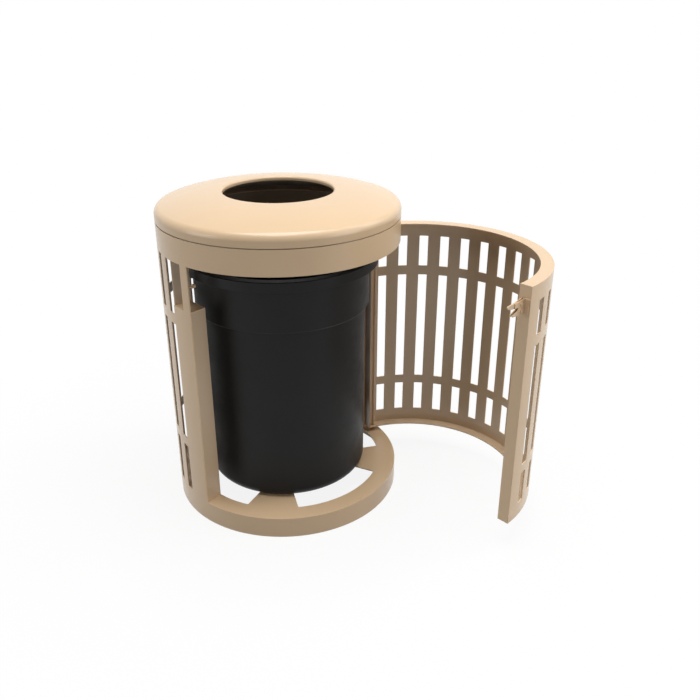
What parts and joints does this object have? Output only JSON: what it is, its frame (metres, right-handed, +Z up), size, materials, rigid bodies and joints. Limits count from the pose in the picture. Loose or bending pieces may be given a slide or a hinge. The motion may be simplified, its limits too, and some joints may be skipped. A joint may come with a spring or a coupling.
{
  "type": "outdoor trash receptacle",
  "caption": "Round slotted steel litter bin housing with a hinged curved side door and latch, a lift-off lid with a central round hole, and a loose plastic liner.",
  "frame": {"origin": "on the shell's axis, at the height of the floor that the skirt stands on", "axes": "+Z up the shell's axis; the middle of the doorway faces -Y; the door's hinge is on the +X side; at rest the door stands open as pictured"},
  "size_m": [0.849, 1.0194, 0.8942],
  "materials": {
    "frame_paint": "beige powder coat, fine texture, satin",
    "liner_plastic": "black moulded plastic, satin",
    "bush_nylon": "tan nylon",
    "zinc_steel": "zinc-plated steel"
  },
  "bodies": {
    "frame": {"base_skirt": "frame_paint", "base_ring": "frame_paint", "base_spokes": "frame_paint", "base_hub": "frame_paint", "shell_wall": "frame_paint", "top_band": "frame_paint", "lid_seat_ring": "frame_paint", "lid_hoop": "frame_paint", "latch_post": "frame_paint", "latch_post_cap": "frame_paint", "latch_back_plate": "frame_paint", "hinge_post": "frame_paint", "hinge_back_plate": "frame_paint", "striker_pin": "frame_paint", "hinge_rod": "frame_paint", "hinge_rod_nuts": "zinc_steel", "hinge_sleeve": "bush_nylon"},
    "door": {"door_panel": "frame_paint", "door_latch_stile": "frame_paint", "door_hinge_stile": "frame_paint", "door_bottom_rail": "frame_paint", "door_top_rail": "frame_paint", "door_bottom_bush": "bush_nylon", "door_top_bush": "bush_nylon", "latch_bracket": "frame_paint", "latch_inner_sheet": "frame_paint", "latch_rivets": "frame_paint", "latch_spacer": "frame_paint", "latch_washer": "zinc_steel"},
    "hook": {"latch_hook": "frame_paint"},
    "lid": {"lid_shell": "frame_paint", "lid_tabs": "frame_paint"},
    "liner": {"liner": "liner_plastic"}
  },
  "joints": [
    {"name": "door_swing", "type": "hinge", "parent": "frame", "child": "door", "pos_m": [0.30087, -0.07131, 0.0735], "axis": [0, 0, 1], "range_deg": [-82.13, 30]},
    {"name": "latch_hook_turn", "type": "hinge", "parent": "door", "child": "hook", "pos_m": [0.18552, -0.66889, 0.706], "axis": [0.0274, -0.9996, 0], "range_deg": [0, 20]},
    {"name": "lid_lift", "type": "slide", "parent": "frame", "child": "lid", "axis": [0, 0, 1], "range_m": [0, 0.15]},
    {"name": "liner_lift", "type": "slide", "parent": "frame", "child": "liner", "axis": [0, 0, 1], "range_m": [0, 0.09]}
  ]
}
